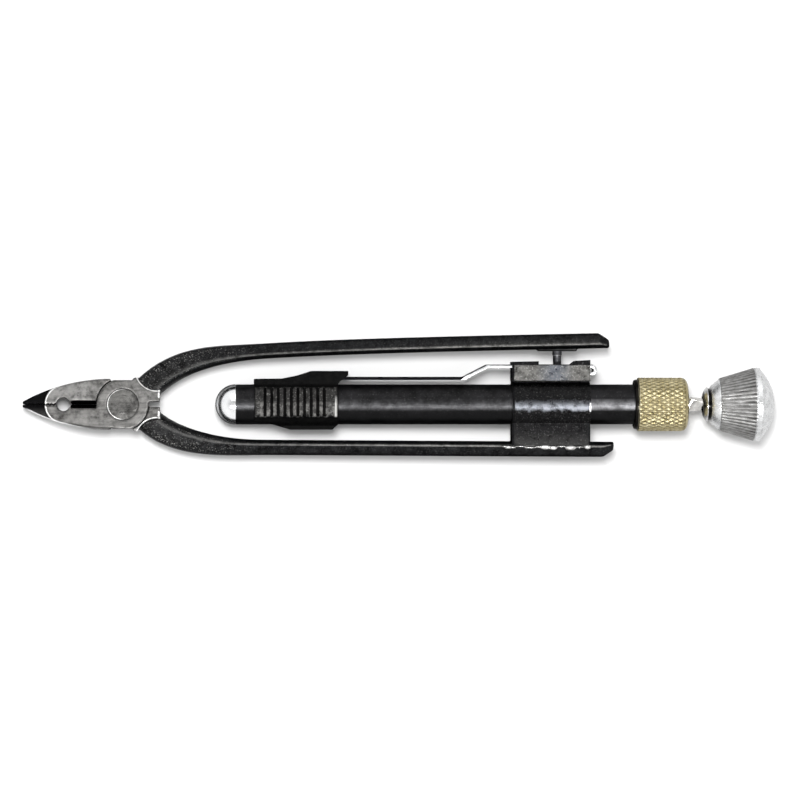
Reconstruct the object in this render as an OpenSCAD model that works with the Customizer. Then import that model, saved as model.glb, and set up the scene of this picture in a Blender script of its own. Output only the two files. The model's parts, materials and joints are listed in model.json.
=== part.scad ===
// Safety-wire twister pliers: locking pliers with a spiral rod that spins the whole tool when its
// knob is drawn. +X runs along the spin axis from the jaws to the knob, +Y points to the handle
// that opens, and +Z is up when the tool lies flat. The origin is the centre of the round eye
// through the closed jaws. All sizes are in millimetres.

/* [Head] */
// Thickness of the jaws and the lap joint
head_thick = 9.5; // [9:0.5:11]
// Half the height of the head at its widest
head_half = 8.1; // [8.1:0.1:8.6]
// Radius of the round eye that both jaws share
eye_r = 2.1; // [1.8:0.1:2.3]
// Distance from the eye to the pivot
pivot_x = 18.7; // [18.5:0.1:18.9]
// Length of the nose in front of the eye
nose_len = 12.9; // [12:0.1:13.5]

/* [Handles] */
// Width of a handle along its straight part, seen from above
handle_w = 4.9; // [4.5:0.1:5.1]
// Thickness of a handle
handle_thick = 7.0; // [6:0.1:7]
// Where the handles end
handle_end = 173; // [170:1:175]

/* [Centre tube] */
// Outside radius of the tube
tube_r = 6.35; // [6.3:0.01:6.35]
// Wall of the tube
tube_wall = 1.2; // [1:0.1:1.3]
// Front tip of the domed nose plug
plug_tip = 48; // [46:1:49]

/* [Lock] */
// Travel of the lock slider
lock_travel = 6; // [5:0.5:6.5]
// Half the width of the latch strip
strip_half = 3.6; // [3.5:0.05:3.7]

/* [Twister] */
// Advance of the spiral in one turn
lead = 30; // [25:1:36]
// Width of the spiral bar
bar_w = 4.2; // [3.8:0.1:4.3]
// Thickness of the spiral bar
bar_t = 1.9; // [1.6:0.1:2]
// Largest radius of the knob
knob_r = 11.75; // [11:0.05:12.5]

/* [Hidden] */
$fn = 64;
half = head_thick / 2;       // half the head's thickness
part_gap = 0.05;             // each jaw stands this far off the parting plane
disc_r = head_half + 0.1;    // lap disc round the pivot
boss_half = head_half - 0.4; // the disc is cut flat at this height above and below
lap_clear = 0.15;            // radial room round the lap disc
crotch_gap = 0.8;            // each handle root stands this far off the middle
cheek_r = 57.3;              // radius of the long arc along the back of each jaw
cheek_x = 15;                // where that arc is widest
jaw_back = 14.9;             // rear shoulder of each jaw
nose_face = [0.4, 6.3];      // centre and radius of the full-thickness face; the nose is thinner
slot_half = 1.15;            // half the width of the cutter slot
slot_end = pivot_x - disc_r - lap_clear;
rivet_r = 3;
rivet_head_r = 4.85;
rivet_head_t = 1.2;
run = 0.05;                  // running clearance on radius

tube_in = tube_r - tube_wall;
tube_front = plug_tip + tube_r;
tube_back = 190.5;
bracket_x = [142, 166.8];
bracket_wall = 1.1;
channel_half = strip_half + 0.2;
channel_top = 12.75;
channel_floor = [7.45, 8.45];
channel_neck = 2.6;          // half the width of the join between channel and saddle
leg_half = handle_thick / 2 + 0.05;
leg_end = -13;
notch_x = [150.4, 160.8];
post_x = 156.6;

strip_t = 1;
strip_low = 7.75;            // underside of the strip beside the tube
strip_high = 11.65;          // underside of the strip inside the bracket
slider_x = [60.3, 90];
head_button_r = 2.1;         // the post's button, caught by the narrow part of the keyhole
neck_r = 1.3;

cap_x = [181, 198.1];
cap_r = 8.55;
nut_x = [190.6, 193.6];
rod_hole_r = 2.75;
journal_r = 1.6;
seat_x = [60, 63];
bar_x = [63.2, 207];
bar_fit = 0.2;               // room between the bar and the nut's twisted slot
slices_per_turn = 36;
wire_r = 0.4;
coil_r = 3.65;
coil_turns = 22;
coil_steps = 12;             // rings in one turn of the return spring
coil_sides = 6;
web_x = [207.4, 210.4];      // wall of the knob that turns on the rod's journal
ring_x = [210.4, 212];
dog_x = [212.9, 215.4];
cavity_r = 8;
cap_seam = 220.9;            // where the knob's domed cover meets its body

function smooth(t) = let (c = min(1, max(0, t))) c * c * (3 - 2 * c);
function mix(a, b, t) = a + (b - a) * t;
function bezier(p, t) = let (s = 1 - t)
    s * s * s * p[0] + 3 * s * s * t * p[1] + 3 * s * t * t * p[2] + t * t * t * p[3];
function polar(r, a) = [r * cos(a), r * sin(a)];

// Lays a shape that stands along Z down along +X, from x = from.
module along_x(from) {
    translate([from, 0, 0]) rotate([0, 90, 0]) children();
}
module rod_x(from, to, r) {
    along_x(from) cylinder(h = to - from, r = r);
}
module ring_x_dir(from, to, r, hole) {
    difference() {
        rod_x(from, to, r);
        rod_x(from - 1, to + 1, hole);
    }
}
// A profile of [x, radius] points turned about the spin axis.
module turned(points) {
    rotate([0, 90, 0]) rotate_extrude() polygon([for (p = points) [p[1], p[0]]]);
}

// ---- The two forged halves ----

// Outline of one jaw, on the +Y side, with its gripping teeth along the parting plane. The teeth
// of the two jaws mesh, so phase is +1 for one jaw and -1 for the other.
teeth_x = [-2.4, -12];
teeth_n = 8;
tooth_depth = 0.4;
module jaw_outline(phase) {
    pitch = (teeth_x[0] - teeth_x[1]) / teeth_n;
    teeth = [for (i = [0 : teeth_n - 1]) each [
        [teeth_x[0] - i * pitch, part_gap],
        [teeth_x[0] - (i + 0.25) * pitch, part_gap + phase * tooth_depth],
        [teeth_x[0] - (i + 0.75) * pitch, part_gap - phase * tooth_depth]]];
    difference() {
        intersection() {
            translate([cheek_x, head_half - cheek_r]) circle(r = cheek_r, $fn = 256);
            polygon(concat([[jaw_back, 20], [jaw_back, part_gap]], teeth,
                [[teeth_x[1], part_gap], [0.1 - nose_len, part_gap], [-nose_len, 0.3],
                [-nose_len, 20]]));
        }
        circle(r = eye_r);
        polygon([[0, 0], [1.8, 0.45], [2.9, slot_half], [slot_end, slot_half], [slot_end, 0]]);
    }
}

// Flat root between the lap disc and the handle, on the +Y side.
module root_outline() {
    difference() {
        polygon([[pivot_x, crotch_gap], [30.5, crotch_gap], [30.5, 3.2], [29.6, 4.6],
            [23.4, head_half + 0.5], [22, head_half + 0.2], [21.6, 7.2], [pivot_x, 6]]);
        translate([29.5, 11]) circle(r = 6.6);
    }
}

// The cutting ridge that stands in the slot, thickest at its root, on the +Y side.
module cutter_ridge() {
    ridge_mid = -1;
    ridge_half = 1.9;
    translate([2.4, 0, 0]) rotate([90, 0, 90]) linear_extrude(slot_end - 2.3)
        polygon([[part_gap, ridge_mid], [slot_half + 0.2, ridge_mid + ridge_half],
            [slot_half + 0.2, ridge_mid - ridge_half]]);
}

// The jaw as a solid: full thickness round the eye and behind it, a thinner tapered nose ahead.
nose_root = 3.7;
nose_tip = 1.7;
module jaw(phase) {
    linear_extrude(head_thick, center = true) intersection() {
        jaw_outline(phase);
        union() {
            translate([nose_face[0], 0]) circle(r = nose_face[1]);
            translate([0, -20]) square([40, 40]);
        }
    }
    intersection() {
        linear_extrude(head_thick, center = true) jaw_outline(phase);
        rotate([90, 0, 0]) linear_extrude(60, center = true)
            polygon([[-nose_len, nose_tip], [0, nose_root + 0.4], [0, -nose_root - 0.4],
                [-nose_len, -nose_tip]]);
    }
    cutter_ridge();
}

// Centreline, width and section of a handle. The bend is one Bezier curve and the grip another.
bend_steps = 14;
grip_steps = 12;
root_w = 8.5;
upper_bend = [[26.4, 5], [35.75, 14], [46, 15.7], [62, 16.8]];
upper_grip = [[62, 16.8], [87, 18.5], [133, 19.5], [handle_end, 20.3]];
lower_bend = [[26.4, -4.4], [33.2, -11], [45, -13.6], [60, -13.6]];
lower_grip = [[60, -13.6], [95, -13.8], [135, -14.1], [handle_end + 1.4, -14.3]];
function handle_line(bend, grip) = concat(
    [for (i = [0 : bend_steps]) bezier(bend, i / bend_steps)],
    [for (i = [1 : grip_steps]) bezier(grip, i / grip_steps)]);
function handle_width(x) = handle_w + (root_w - handle_w) * (1 - smooth((x - 27) / 37));
function handle_half(x) = handle_thick / 2 + 0.7 * (1 - smooth((x - 27) / 20));
// Upper half of the section, from the outer edge to the inner one: a long slope, a narrow crest
// and a steep inner side. The lower half mirrors it.
section_top = [[1, 0.16], [0.95, 0.42], [0.8, 0.62], [0.4, 0.78], [0, 0.9], [-0.27, 0.99],
    [-0.55, 1], [-0.78, 0.84], [-0.93, 0.5], [-1, 0.16]];
section = concat(section_top, [for (i = [len(section_top) - 1 : -1 : 0])
    [section_top[i][0], -section_top[i][1]]]);
section_sides = len(section);

// side is +1 for the handle above the tube and -1 for the one below it.
module handle_bar(bend, grip, side) {
    line = handle_line(bend, grip);
    n = len(line);
    last = line[n - 1];
    // The tip is cut back on its outer corner, so the last ring is narrower and set inwards.
    rings = [for (i = [0 : n]) let (
        tip = i == n,
        p = tip ? last + [0.2, -side * 1.1] : (i == n - 1 ? last - [3.1, 0] : line[i]),
        ahead = line[min(n - 1, i + 1)] - line[max(0, min(n - 2, i - 1))],
        normal = side * [-ahead[1], ahead[0]] / norm(ahead),
        w = handle_width(p[0]) - (tip ? 2.2 : 0),
        h = handle_half(p[0]) - (tip ? 0.7 : 0))
        [for (s = section) let (out = s[0] * w / 2)
            [p[0] + normal[0] * out, p[1] + normal[1] * out, side * s[1] * h]]];
    m = section_sides;
    walls = [for (i = [0 : n - 1]) for (j = [0 : m - 1]) let (k = (j + 1) % m) each [
        [i * m + j, (i + 1) * m + k, i * m + k],
        [i * m + j, (i + 1) * m + j, (i + 1) * m + k]]];
    ends = [[for (j = [0 : m - 1]) j], [for (j = [m - 1 : -1 : 0]) n * m + j]];
    polyhedron([for (r = rings) each r], concat(walls, ends));
}

// One forging: its jaw lies on the jaw_side of the parting plane and its handle on the other side.
// Its lap disc is the layer on the lap side: +1 above the middle plane, -1 below it.
module forged_half(jaw_side, lap) {
    module other_layer() {
        translate([pivot_x, 0, lap > 0 ? -half - 1 : -part_gap])
            cylinder(h = half + 1 + part_gap, r = disc_r + lap_clear);
    }
    difference() {
        union() {
            scale_y(jaw_side) jaw(jaw_side);
            linear_extrude(head_thick, center = true) scale_y(-jaw_side) root_outline();
            translate([0, 0, lap > 0 ? part_gap : -half])
                linear_extrude(half - part_gap) intersection() {
                    translate([pivot_x, 0]) circle(r = disc_r);
                    square([80, 2 * boss_half], center = true);
                }
            children();
        }
        other_layer();
        translate([pivot_x, 0, -half - 1]) cylinder(h = head_thick + 2, r = rivet_r + run);
        translate([pivot_x, 0, lap > 0 ? half - rivet_head_t - run : -half - 1])
            cylinder(h = rivet_head_t + run + 1, r = rivet_head_r + run);
    }
}
module scale_y(side) {
    if (side > 0) children();
    else mirror([0, 1, 0]) children();
}

module fixed_half() {
    color("dimgray") forged_half(1, -1) handle_bar(lower_bend, lower_grip, -1);
}

pad_y = 17.6;                // flat under the upper handle that the latch post stands on
module moving_half() {
    color("gray") difference() {
        union() {
            forged_half(-1, 1) handle_bar(upper_bend, upper_grip, 1);
            translate([notch_x[0], pad_y - 0.7, -1.8]) cube([12.4, 2, 3.6]);
        }
        translate([post_x, pad_y + 2.4, 0]) rotate([90, 0, 0]) cylinder(h = 6, r = 1.55);
    }
}

module pivot_rivet() {
    color("silver") translate([pivot_x, 0, 0]) {
        cylinder(h = head_thick - 0.1, r = rivet_r, center = true);
        for (s = [-1, 1]) translate([0, 0, s * (half - rivet_head_t / 2 - 0.05)])
            cylinder(h = rivet_head_t - 0.1, r = rivet_head_r, center = true);
    }
}

// ---- Centre tube and what is fixed to it ----

module centre_tube() {
    color("black") ring_x_dir(tube_front, tube_back, tube_r, tube_in);
}

module nose_plug() {
    color("silver") {
        intersection() {
            translate([tube_front, 0, 0]) sphere(r = tube_r);
            rod_x(plug_tip - 1, tube_front, tube_r + 1);
        }
        rod_x(tube_front - 0.5, tube_front + 3.2, tube_in);
    }
}

// Sheet metal: a boxed channel for the latch strip on top, a saddle round the tube, and two legs
// that straddle the lower handle. The outline is drawn as [z, y].
module bracket_section() {
    difference() {
        union() {
            circle(r = tube_r + bracket_wall + run);
            translate([-channel_half - bracket_wall, channel_floor[0]])
                square([2 * (channel_half + bracket_wall), channel_top + 1.4 - channel_floor[0]]);
            translate([-channel_neck, 0]) square([2 * channel_neck, channel_floor[1]]);
            translate([-leg_half - bracket_wall, leg_end])
                square([2 * (leg_half + bracket_wall), -leg_end]);
        }
        circle(r = tube_r + run);
        translate([-channel_half, channel_floor[1]])
            square([2 * channel_half, channel_top - channel_floor[1]]);
        translate([-leg_half, leg_end - 1]) square([2 * leg_half, 1 - leg_end]);
    }
}
module tube_bracket() {
    color("darkslategray") difference() {
        along_x(bracket_x[0]) linear_extrude(bracket_x[1] - bracket_x[0]) bracket_section();
        linear_extrude(20, center = true) polygon([[bracket_x[0] - 1, channel_top + 3],
            [bracket_x[0] - 1, channel_top + 0.75], [notch_x[0], channel_top + 0.95],
            [notch_x[0], channel_top - 0.05], [notch_x[1], channel_top - 0.05],
            [notch_x[1] + 1.5, channel_top + 1.1], [bracket_x[1] + 1, channel_top + 1.4],
            [bracket_x[1] + 1, channel_top + 3]]);
    }
}

// Fillets that hold the two legs to the faces of the lower handle.
module weld_beads() {
    color("dimgray") for (s = [-1, 1])
        translate([bracket_x[0] - 3.2, 0, 0]) rotate([90, 0, 90])
            linear_extrude(bracket_x[1] - bracket_x[0] + 3.6)
            polygon([[leg_end, s * (leg_half + 0.02)], [leg_end, s * (leg_half + bracket_wall)],
                [leg_end - 1.3, s * (leg_half + 0.02)]]);
}

module spring_stop() {
    color("silver") ring_x_dir(188.8, 190.3, tube_in - 0.1, rod_hole_r);
}

// Section of the spiral bar with its corners broken, grown by room all round.
module bar_section(room) {
    w = bar_t / 2 + room;
    l = bar_w / 2 + room;
    c = 0.3;
    polygon([[w - c, -l], [w, c - l], [w, l - c], [w - c, l], [c - w, l], [-w, l - c], [-w, c - l],
        [c - w, -l]]);
}
// The bar's twist is counted from bar_x[0], so a slot cut anywhere stays in step with the rod.
module twisted_bar(from, to, room) {
    turns = (to - from) / lead;
    translate([from, 0, 0]) rotate([360 * (from - bar_x[0]) / lead, 0, 0]) rotate([0, 90, 0])
        linear_extrude(to - from, twist = -360 * turns,
            slices = ceil(turns * slices_per_turn), $fn = 16) bar_section(room);
}

module twist_nut() {
    color("silver") difference() {
        rod_x(nut_x[0], nut_x[1], 6);
        twisted_bar(nut_x[0] - 0.5, nut_x[1] + 0.5, bar_fit);
    }
}

module brass_cap() {
    color("goldenrod") turned([
        [cap_x[0], 7.4], [cap_x[0] + 0.5, 7.9], [cap_x[0] + 1.1, cap_r], [cap_x[1] - 1.6, cap_r],
        [cap_x[1] - 0.5, cap_r - 0.6], [cap_x[1], cap_r - 1.8], [cap_x[1], rod_hole_r],
        [nut_x[1] + 0.1, rod_hole_r], [nut_x[1] + 0.1, 6.1], [nut_x[0], 6.1],
        [nut_x[0], tube_r + run], [cap_x[0] + 0.8, tube_r + run], [cap_x[0], 7]]);
}

// ---- Rod, spring and spring seat ----

// Compression spring with closed ends, between the moving seat and the fixed stop.
module return_spring() {
    start = seat_x[1] + wire_r + 0.05;
    end = 188.8 - wire_r - 0.05;
    pitch_end = 2 * wire_r + 0.1;
    pitch_mid = (end - start - 2 * pitch_end) / (coil_turns - 2);
    function coil_x(t) = start + (t < 1 ? t * pitch_end
        : t < coil_turns - 1 ? pitch_end + (t - 1) * pitch_mid
        : end - start - (coil_turns - t) * pitch_end);
    n = coil_turns * coil_steps;
    rings = [for (i = [0 : n]) let (t = i / coil_steps, a = 360 * t) [
        for (j = [0 : coil_sides - 1]) let (q = polar(wire_r, 360 * j / coil_sides))
        [coil_x(t) + q[0], (coil_r + q[1]) * cos(a), (coil_r + q[1]) * sin(a)]]];
    m = coil_sides;
    walls = [for (i = [0 : n - 1]) for (j = [0 : m - 1]) let (k = (j + 1) % m) each [
        [i * m + j, (i + 1) * m + k, i * m + k],
        [i * m + j, (i + 1) * m + j, (i + 1) * m + k]]];
    ends = [[for (j = [0 : m - 1]) j], [for (j = [m - 1 : -1 : 0]) n * m + j]];
    color("slategray") polyhedron([for (r = rings) each r], concat(walls, ends));
}

// Flanged bush that slides in the tube and turns on the rod's front journal.
module spring_seat() {
    color("silver") difference() {
        rod_x(seat_x[0], seat_x[1], tube_in - 0.1);
        rod_x(seat_x[0] - 1, seat_x[1] + 1, journal_r + run);
    }
}

module spiral_rod() {
    color("silver") {
        twisted_bar(bar_x[0], bar_x[1], 0);
        rod_x(58.2, bar_x[0] + 0.3, journal_r);
        rod_x(bar_x[1] - 0.3, 217.6, journal_r);
    }
}

module rod_end_washer() {
    color("silver") ring_x_dir(58.6, 59.8, 3.4, journal_r);
}

// ---- Knob ----

module thrust_washer() {
    color("silver") ring_x_dir(bar_x[1] + 0.05, bar_x[1] + 0.35, 3.2, journal_r + run);
}

// Ratchet teeth on a ring: ramps round the axis. They face the knob's rear if dir is +1.
teeth_count = 8;
module ratchet(face, dir, r_in, r_out) {
    for (i = [0 : teeth_count - 1]) rotate([360 * i / teeth_count, 0, 0])
        translate([face, 0, r_in]) linear_extrude(r_out - r_in)
        polygon([[-0.2 * dir, -1], [0.38 * dir, -1], [-0.2 * dir, 1]]);
}

module clutch_ring() {
    color("dimgray") {
        ring_x_dir(ring_x[0], ring_x[1], 6.5, 2.2);
        ratchet(ring_x[1], 1, 3.4, 5.6);
    }
}

module clutch_dog() {
    color("dimgray") {
        ring_x_dir(dog_x[0], dog_x[1], 5.8, journal_r);
        ratchet(dog_x[0], -1, 3.4, 5.4);
    }
}

module rod_nut() {
    color("silver") difference() {
        along_x(dog_x[1] + 0.05) cylinder(h = 1.9, r = 3.1, $fn = 6);
        rod_x(dog_x[1] - 1, 219, journal_r);
    }
}

flutes = 48;
module knob_body() {
    color("lightgray") difference() {
        turned([[205.5, 3.9], [205.5, 5.8], [208.1, 7.9], [208.4, 8.1], [219.4, 11.55],
            [219.7, knob_r], [cap_seam, knob_r], [cap_seam, cavity_r], [web_x[1], cavity_r],
            [web_x[1], journal_r + run], [web_x[0], journal_r + run], [web_x[0], 3.9]]);
        for (i = [0 : flutes - 1]) rotate([360 * i / flutes, 0, 0])
            translate([208.2, 0, 8.3]) rotate([0, -17.4, 0]) along_x(0) cylinder(h = 11.6, r = 0.3, $fn = 4);
    }
}

// Ferrule pressed into the nose of the knob, open enough for the bar to pass.
module knob_bush() {
    color("silver") turned([[203.1, 2.7], [203.1, 4.9], [203.7, 5.5], [205, 5.5], [205.3, 5.1],
        [205.3, 3.9], [206.8, 3.9], [206.8, 2.7]]);
}

// Domed cover: an arc from the rim to the middle, with a spigot in the knob's cavity.
module knob_cap() {
    dome_h = 5.1;
    dome_r = (knob_r * knob_r + dome_h * dome_h) / (2 * dome_h);
    half_angle = asin(knob_r / dome_r);
    dome = [for (i = [0 : 8]) let (q = polar(dome_r, half_angle * (8 - i) / 8))
        [cap_seam + dome_h - dome_r + q[0], q[1]]];
    color("lightgray") turned(concat([[cap_seam + 1.4, 0], [cap_seam + 1.4, 6.4],
        [cap_seam - 2, 6.4], [cap_seam - 2, cavity_r], [cap_seam, cavity_r]], dome));
}

// ---- Lock ----

// Seen from above: the front is low, and the body flares towards the rear on both sides.
module slider_plan() {
    polygon([[slider_x[0], 8.1], [69, 8.2], [74, 9.2], [78.4, 10.6], [slider_x[1], 10.6],
        [slider_x[1], 9.2], [87.6, 7.5], [86.8, 6.5], [86.8, -6.4], [85, -8], [71.7, -8],
        [68, -6.9], [64, -5.8], [slider_x[0], -5.7]]);
}
// Seen along the tube, as [z, y].
module slider_section() {
    back_r = 7.5;
    upper_arc = [for (i = [0 : 2]) polar(back_r, 55 - 3.35 * i)];
    lower_arc = [for (i = [0 : 8]) polar(back_r, -33.14 - 3.74 * i)];
    side = concat([[upper_arc[0][0], 12]], upper_arc, [[6.9, 5.6], [7.6, 0.8], [7.1, -4.1]],
        lower_arc, [[lower_arc[8][0], -9]]);
    polygon(concat(side, [for (i = [len(side) - 1 : -1 : 0]) [-side[i][0], side[i][1]]]));
}
rib_pitch = 2.08;
rib_grooves = 10;
// What a groove takes off one face, as [z, y]; it follows both facets, 0.5 deep.
groove = [[9, 5.3], [6.44, 5.3], [7.1, 0.8], [6.63, -3.8], [9, -3.8]];
module lock_slider() {
    color("black") difference() {
        intersection() {
            linear_extrude(30, center = true) slider_plan();
            along_x(50) linear_extrude(50) slider_section();
        }
        rod_x(50, 100, tube_r + 0.1);
        for (i = [0 : rib_grooves - 1]) for (s = [-1, 1])
            along_x(63.2 + i * rib_pitch) linear_extrude(0.8) polygon([for (p = groove) [s * p[0], p[1]]]);
        translate([76, strip_low - 0.05, -strip_half - 0.05])
            cube([20, strip_t + 0.1, 2 * strip_half + 0.1]);
        for (x = rivet_xs) translate([x, 20, 0]) rotate([90, 0, 0]) {
            cylinder(h = 13.4, r = 0.9);
            cylinder(h = 10, r = 1.65);
        }
    }
}

rivet_xs = [79.5, 85.5];
// Side view of the strip: flat beside the tube, stepped up to the bracket, curled down at its end.
module strip_path() {
    t = strip_t;
    polygon([[76.2, strip_low], [126.8, strip_low], [134.4, strip_high], [167.3, strip_high],
        [167.3, strip_high + t], [134, strip_high + t], [126.4, strip_low + t], [76.2, strip_low + t]]);
    translate([167.3, strip_high - 0.7]) difference() {
        circle(r = 0.7 + t);
        circle(r = 0.7);
        translate([-5, -5]) square([5, 10]);
    }
    translate([166.5, strip_high - 1.4 - t]) square([0.85, t]);
}
module latch_strip() {
    hole_x = post_x - 0.3;
    color("silver") difference() {
        linear_extrude(2 * strip_half, center = true) strip_path();
        translate([hole_x, 20, 0]) rotate([90, 0, 0]) cylinder(h = 20, r = head_button_r + 0.45);
        translate([post_x - lock_travel - 0.7, 20, 0]) rotate([90, 0, 0])
            cylinder(h = 20, r = neck_r + 0.15);
        translate([post_x - lock_travel - 0.7, 5, -neck_r - 0.15])
            cube([lock_travel, 15, 2 * neck_r + 0.3]);
        for (x = rivet_xs) translate([x, 20, 0]) rotate([90, 0, 0]) cylinder(h = 20, r = 0.9);
    }
}

module slider_rivets() {
    color("dimgray") for (x = rivet_xs) {
        translate([x, 10.5, 0]) rotate([90, 0, 0]) cylinder(h = 3.8, r = 0.9);
        translate([x, 10.55, 0]) rotate([90, 0, 0]) cylinder(h = 0.55, r = 1.6);
    }
}

// Turned stud under the upper handle: shank, collar, neck and the button that the strip catches.
module latch_post() {
    color("dimgray") translate([post_x, 0, 0]) rotate([-90, 0, 0]) {
        translate([0, 0, 9.6]) cylinder(h = 1.6, r = head_button_r);
        translate([0, 0, 10]) cylinder(h = 7, r = neck_r);
        translate([0, 0, 15.6]) cylinder(h = 1.2, r = 1.5);
        translate([0, 0, 16.5]) cylinder(h = 3, r = 1.5);
    }
}

fixed_half();
moving_half();
pivot_rivet();
centre_tube();
nose_plug();
tube_bracket();
weld_beads();
spring_stop();
twist_nut();
brass_cap();
return_spring();
spring_seat();
spiral_rod();
rod_end_washer();
thrust_washer();
clutch_dog();
rod_nut();
knob_body();
knob_bush();
clutch_ring();
knob_cap();
lock_slider();
latch_strip();
slider_rivets();
latch_post();
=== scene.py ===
import json
import math

import bpy
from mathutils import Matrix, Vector

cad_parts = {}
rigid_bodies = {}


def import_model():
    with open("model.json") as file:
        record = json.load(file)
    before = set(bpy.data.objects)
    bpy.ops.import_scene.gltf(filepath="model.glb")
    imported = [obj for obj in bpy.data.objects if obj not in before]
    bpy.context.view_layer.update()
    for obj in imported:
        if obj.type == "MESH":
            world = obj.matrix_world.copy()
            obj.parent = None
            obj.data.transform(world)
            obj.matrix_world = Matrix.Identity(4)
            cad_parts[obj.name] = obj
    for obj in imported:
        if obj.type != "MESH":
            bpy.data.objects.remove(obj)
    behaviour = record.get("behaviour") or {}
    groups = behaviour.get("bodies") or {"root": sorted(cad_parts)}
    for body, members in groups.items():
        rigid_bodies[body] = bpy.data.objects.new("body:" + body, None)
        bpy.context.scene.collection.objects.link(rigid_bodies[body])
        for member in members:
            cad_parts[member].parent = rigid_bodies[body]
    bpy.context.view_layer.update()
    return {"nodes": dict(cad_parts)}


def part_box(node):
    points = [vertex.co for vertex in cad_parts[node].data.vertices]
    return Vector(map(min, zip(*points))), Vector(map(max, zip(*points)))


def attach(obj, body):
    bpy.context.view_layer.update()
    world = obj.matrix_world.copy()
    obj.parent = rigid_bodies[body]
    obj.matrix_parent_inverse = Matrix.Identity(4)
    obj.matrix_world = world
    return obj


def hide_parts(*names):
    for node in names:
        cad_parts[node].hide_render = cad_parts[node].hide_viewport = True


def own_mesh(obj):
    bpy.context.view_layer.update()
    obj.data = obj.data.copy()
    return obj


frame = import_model()
MM = 0.001

# ---------------------------------------------------------------------------------------------
# The two forged halves. Each is one steel drop forging: a jaw, a half-thickness lap disc and the
# handle on the other side. The head is tumbled to a satin grey and the handle is black oxide,
# worn through along its crest, with a painted highlight over the wear there. The nose is black
# too, where it was drawn down thinner.

HANDLE_WIDTH = 4.9
HANDLE_HALF = 3.5
ROOT_WIDTH = 8.5
ROOT_EXTRA = 0.7
FORGING_VOXEL = 0.24 * MM
HEAD_END = 30.6 * MM
PAD_PLACE = (156.6 * MM, 18.2 * MM, 0)
PAD_SIZE = (12.4 * MM, 2.6 * MM, 3.6 * MM)
CURVE_STEPS = 24
# Bezier points in millimetres: the bend behind the head, then the grip.
UPPER_BEND = [(26.4, 5), (35.75, 14), (46, 15.7), (62, 16.8)]
UPPER_GRIP = [(62, 16.8), (87, 18.5), (133, 19.5), (173, 20.3)]
LOWER_BEND = [(26.4, -4.4), (33.2, -11), (45, -13.6), (60, -13.6)]
LOWER_GRIP = [(60, -13.6), (95, -13.8), (135, -14.1), (174.4, -14.3)]
# A handle's section as (across, up), each a part of its half size.
SECTION = [(1, 0), (0.98, 0.3), (0.9, 0.5), (0.74, 0.64), (0.4, 0.78), (0, 0.9), (-0.25, 0.98),
           (-0.42, 1.0), (-0.58, 0.985), (-0.74, 0.86), (-0.9, 0.56), (-0.98, 0.28), (-1, 0)]
# The handle's chamfered end: how far each ring is back, inward, narrower and thinner.
END_RINGS = [(3.2, 0, 0, 0), (2.9, 0.1, 0.2, 0), (0.1, 1.0, 2.0, 0.35), (-0.2, 1.1, 2.25, 0.9)]


def wake(piece):
    """Only this piece is selected and active, ready for an operator."""
    if bpy.context.object and bpy.context.object.mode != "OBJECT":
        bpy.ops.object.mode_set(mode="OBJECT")
    bpy.ops.object.select_all(action="DESELECT")
    bpy.context.view_layer.objects.active = piece
    piece.select_set(True)
    return piece


def copy_of(node, name):
    """A CAD node's mesh as an object of its own, merged, with no materials or custom data."""
    wake(frame["nodes"][node])
    bpy.ops.object.duplicate()
    piece = bpy.context.object
    bpy.ops.object.parent_clear(type="CLEAR_KEEP_TRANSFORM")
    for key in list(piece.keys()):
        del piece[key]
    piece.name = name
    piece.data.name = name
    piece.data.materials.clear()
    bpy.ops.object.mode_set(mode="EDIT")
    bpy.ops.mesh.select_all(action="SELECT")
    bpy.ops.mesh.remove_doubles(threshold=1e-6)
    bpy.ops.mesh.customdata_custom_splitnormals_clear()
    bpy.ops.object.mode_set(mode="OBJECT")
    return piece


def applied(piece, kind, **settings):
    """Adds a modifier of this kind with these settings and applies it."""
    wake(piece)
    modifier = piece.modifiers.new(kind.title(), kind)
    for key, value in settings.items():
        setattr(modifier, key, value)
    bpy.ops.object.modifier_apply(modifier=modifier.name)
    return piece


def bezier(points, t):
    s = 1 - t
    weights = (s ** 3, 3 * s * s * t, 3 * s * t * t, t ** 3)
    return [sum(w * p[axis] for w, p in zip(weights, points)) for axis in (0, 1)]


def ease_out(x, start, length):
    """1 before the start, falling smoothly to 0 over the length."""
    t = min(1.0, max(0.0, (x - start) / length))
    return 1 - t * t * (3 - 2 * t)


def handle_stations(bend, grip, side):
    """Centre, heading, width and half-thickness of each ring along a handle, in millimetres."""
    line = [bezier(bend, i / CURVE_STEPS) for i in range(CURVE_STEPS + 1)]
    line += [bezier(grip, i / CURVE_STEPS) for i in range(1, CURVE_STEPS + 1)]
    rings = []
    for i, (x, y) in enumerate(line):
        before, after = line[max(0, i - 1)], line[min(len(line) - 1, i + 1)]
        heading = math.atan2(after[1] - before[1], after[0] - before[0])
        width = HANDLE_WIDTH + (ROOT_WIDTH - HANDLE_WIDTH) * ease_out(x, 27, 37)
        rings.append((x, y, heading, width, HANDLE_HALF + ROOT_EXTRA * ease_out(x, 27, 20)))
    x, y, heading, width, half = rings.pop()
    for back, inward, narrower, thinner in END_RINGS:
        rings.append((x - back, y - side * inward, heading, width - narrower, half - thinner))
    return rings


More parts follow.
